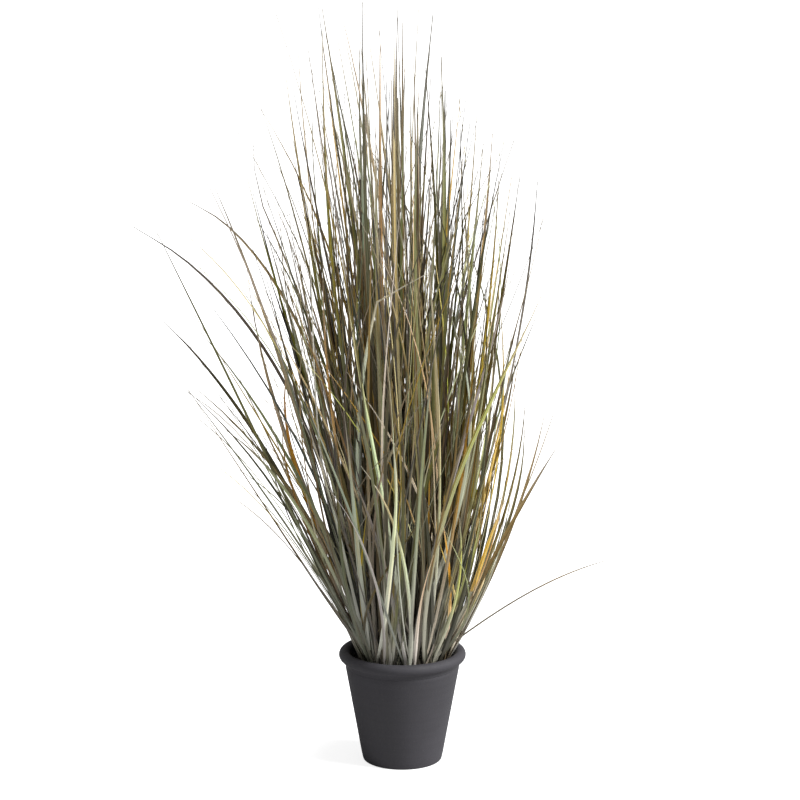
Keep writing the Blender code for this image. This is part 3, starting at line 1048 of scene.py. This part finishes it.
def buildLeafSurface():
    group, inside, outside = newGroup(
        "leafSurface",
        [("Tone", "Color", None), ("Along", "Float", 0.5), ("Across", "Float", 0.0),
         ("Age", "Float", 0.5), ("Seed", "Float", 0.0), ("Shade", "Float", 1.0)],
        [("Colour", "Color"), ("Roughness", "Float"), ("Height", "Float")],
    )
    look = leafFinish
    tone, along, across, age, seed, lightness = (
        inside.outputs[name] for name in ("Tone", "Along", "Across", "Age", "Seed", "Shade"))
    blade = (across, along, seed)
    # fine veins and broad streaks that run the length of the blade, lighter stretches, and dark flecks
    veins = bladeNoise(group, blade, look["veinScale"], 1.0, 0.36, 0.64)
    streaks = bladeNoise(group, blade, look["streakScale"], 2.0, 0.52, 0.68)
    stretches = bladeNoise(group, blade, look["shadeScale"], 1.0, 0.3, 0.7)
    flecks = bladeNoise(group, blade, look["fleckScale"], 2.0, 0.64, 0.74)
    # the pale midrib and margins are painted highlights along the blade's fold and edges; the midrib also
    # rises in the bump
    fromRib = mathNode(group, "ABSOLUTE", across)
    ribRidgeAndHighlight = mapRange(group, fromRib, 0.16, 0.03)
    marginHighlight = mapRange(group, fromRib, 0.80, 0.97)
    # ageing: the tip dries first, further down on old leaves
    ageing = mathNode(group, "MULTIPLY", mathNode(group, "POWER", age, 2.5), 0.75)
    dryFrom = mathNode(group, "SUBTRACT", 1.04, ageing)
    drying = mapRange(group, along, mathNode(group, "SUBTRACT", dryFrom, 0.22), dryFrom)
    tipping = mapRange(group, along, 0.76, 1.0)
    atBase = mapRange(group, along, 0.66, 0.06)
    baseShare = mapRange(group, lightness, 0.2, 1.2, *look["baseShare"])
    colour = tone
    # the pale tints over the midrib and margins are painted highlights
    for over, mask, share in (
        ("streak", streaks, look["streakShare"]), ("paleAndHighlight", stretches, look["shadeShare"]),
        ("dark", veins, look["veinShare"]), ("base", atBase, baseShare), ("dry", drying, look["dryShare"]),
        ("tip", tipping, look["tipShare"]), ("paleAndHighlight", ribRidgeAndHighlight, look["ribHighlightShare"]),
        ("paleAndHighlight", marginHighlight, look["marginHighlightShare"]), ("dark", flecks, look["fleckShare"]),
    ):
        colour = tint(group, colour, look[over], mask, share)
    # every leaf is lighter or darker, and more or less vivid, than the next, and fades at both ends
    vivid = mathNode(group, "FRACT", mathNode(group, "MULTIPLY", seed, 23.7))
    vivid = mapRange(group, vivid, 0.0, 1.0, *look["vividness"], smooth=False)
    rising = mapRange(group, along, 0.12, 0.52, look["vividBase"], look["vividMiddle"])
    fading = mapRange(group, along, 0.66, 1.0, 1.0, look["vividTip"])
    vivid = mathNode(group, "MULTIPLY", vivid, mathNode(group, "MULTIPLY", rising, fading))
    variety = addNode(group, "ShaderNodeHueSaturation")
    plug(group, lightness, variety.inputs["Value"])
    plug(group, vivid, variety.inputs["Saturation"])
    plug(group, colour, variety.inputs["Color"])
    plug(group, variety.outputs["Color"], outside.inputs["Colour"])
    rough = mapRange(group, veins, 0.0, 1.0, *look["roughness"])
    rough = mathNode(group, "ADD", rough, mathNode(group, "MULTIPLY", drying, 0.25))
    plug(group, rough, outside.inputs["Roughness"])
    grooves = mathNode(group, "MULTIPLY", veins, 0.6)
    height = mathNode(group, "SUBTRACT", mathNode(group, "MULTIPLY", ribRidgeAndHighlight, 0.8), grooves)
    plug(group, height, outside.inputs["Height"])
    return group


def attributeOf(tree, name):
    node = addNode(tree, "ShaderNodeAttribute", attribute_type="GEOMETRY", attribute_name=name)
    return node.outputs["Fac"]


def finishLeaf(slotName, surface):
    material, tree, shader = newMaterial(slotName.replace("leaf_", "grass_"), 0.5)
    ramp = addNode(tree, "ShaderNodeValToRGB")
    stops = leafTones[slotName]
    while len(ramp.color_ramp.elements) < len(stops):
        ramp.color_ramp.elements.new(0.5)
    for element, (position, colour) in zip(ramp.color_ramp.elements, stops):
        element.position = position
        element.color = (*colour, 1.0)
    plug(tree, attributeOf(tree, "leafTone"), ramp.inputs[0])
    own = {name: attributeOf(tree, "leaf" + name) for name in ("Along", "Across", "Age", "Seed", "Shade")}
    blade = useGroup(tree, surface, Tone=ramp.outputs["Color"], **own)
    plug(tree, blade.outputs["Colour"], shader.inputs["Base Color"])
    plug(tree, blade.outputs["Roughness"], shader.inputs["Roughness"])
    shader.inputs["Specular IOR Level"].default_value = leafFinish["specular"]
    addBump(tree, shader, blade.outputs["Height"], 0.35, 0.0002)
    return material


leafSurface = buildLeafSurface()
leafMaterials = {slotName: finishLeaf(slotName, leafSurface) for slotName in leafTones}


def makeTuft(name):
    leaves = [bendLeaf(masters[kindName], spine, look) for kindName, spine, look in tufts[name]]
    for index, leaf in enumerate(leaves):
        strips = leaf.data.uv_layers["OFBake"].data
        places = np.empty(len(strips) * 2, np.float32)
        strips.foreach_get("uv", places)
        places[0::2] = (places[0::2] + index) / len(leaves)
        strips.foreach_set("uv", places)
    selectOnly(*leaves)
    bpy.ops.object.join()
    tuft = leaves[0]
    tuft.name = name.replace("shoot", "tuft").replace("blade", "spray")
    smoothByAngle(tuft, 22)
    coat(tuft, leafMaterials[slotOfNode[name]])
    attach(tuft, "root")
    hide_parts(name)
    return len(tuft.data.polygons)


faceCount = sum(makeTuft(name) for name in grassNodes)
for master in masters.values():
    bpy.data.objects.remove(master["piece"])
print("grass grown:", faceCount, "faces")


# studio: pale floor, a soft key light from the right, even white surroundings

studio = {
    "floorSize": 90.0,
    "floorColour": (0.56, 0.56, 0.56, 1.0),
    "toothColour": (0.50, 0.50, 0.50, 1.0),
    "toothScale": 900.0,
    "white": (1.0, 1.0, 1.0, 1.0),
    "glowNear": 0.78,          # for the camera only: the paper reads white and doesn't light the plant
    "glowFar": 1.0,
    "glowReach": (0.09, 0.17),
    "surroundings": 0.38,
    "keyStrength": 5.6,
    "keyAngle": 26.0,          # softness, degrees
    "keyFrom": (0.95, -0.30, 0.80),
    "cameraPlace": (-0.003, -3.5, 1.205),
    "cameraTilt": 78.04,
    "lens": 130.2,
    "sensorWidth": 36.0,
    "clipEnd": 200.0,
}


def layFloor():
    deselectAll()
    bpy.ops.mesh.primitive_plane_add(size=studio["floorSize"])
    floor = bpy.context.object
    floor.name = "studioFloor"
    material, tree, shader = newMaterial("studioPaper", 0.9)
    place = addNode(tree, "ShaderNodeTexCoord").outputs["Object"]
    tooth = noiseAt(tree, place, studio["toothScale"], 2.0)
    colour = tint(tree, studio["floorColour"], studio["toothColour"], tooth, 0.04)
    plug(tree, colour, shader.inputs["Base Color"])
    shader.inputs["Specular IOR Level"].default_value = 0.1
    shader.inputs["Emission Color"].default_value = studio["white"]
    # painted light: the glow washes out the shadows on the floor, weaker near the pot so the pot's own
    # shadow still shows there
    away = addNode(tree, "ShaderNodeVectorMath", operation="LENGTH")
    plug(tree, place, away.inputs[0])
    near, far = studio["glowReach"]
    glow = mapRange(tree, away.outputs["Value"], near, far, studio["glowNear"], studio["glowFar"])
    seen = addNode(tree, "ShaderNodeLightPath").outputs["Is Camera Ray"]
    plug(tree, mathNode(tree, "MULTIPLY", seen, glow), shader.inputs["Emission Strength"])
    coat(floor, material)


def lightRoom():
    world = bpy.data.worlds.new("studioRoom")
    bpy.context.scene.world = world
    world.use_nodes = True
    room = world.node_tree
    seenRoom = addNode(room, "ShaderNodeLightPath").outputs["Is Camera Ray"]
    strength = mapRange(room, seenRoom, 0.0, 1.0, studio["surroundings"], 1.0, smooth=False)
    room.nodes["Background"].inputs["Color"].default_value = studio["white"]
    plug(room, strength, room.nodes["Background"].inputs["Strength"])
    key = bpy.data.lights.new("keyLight", "SUN")
    key.energy = studio["keyStrength"]
    key.angle = math.radians(studio["keyAngle"])
    keyLamp = bpy.data.objects.new("keyLight", key)
    keyLamp.rotation_euler = Vector(studio["keyFrom"]).to_track_quat("Z", "Y").to_euler()
    bpy.context.scene.collection.objects.link(keyLamp)


def placeCamera():
    camera = bpy.data.objects.new("camera", bpy.data.cameras.new("camera"))
    camera.data.lens = studio["lens"]
    camera.data.sensor_width = studio["sensorWidth"]
    camera.data.clip_end = studio["clipEnd"]
    camera.location = studio["cameraPlace"]
    camera.rotation_euler = (math.radians(studio["cameraTilt"]), 0.0, 0.0)
    bpy.context.scene.collection.objects.link(camera)
    bpy.context.scene.camera = camera
    bpy.context.scene.view_settings.view_transform = "Standard"


layFloor()
lightRoom()
placeCamera()
deselectAll()
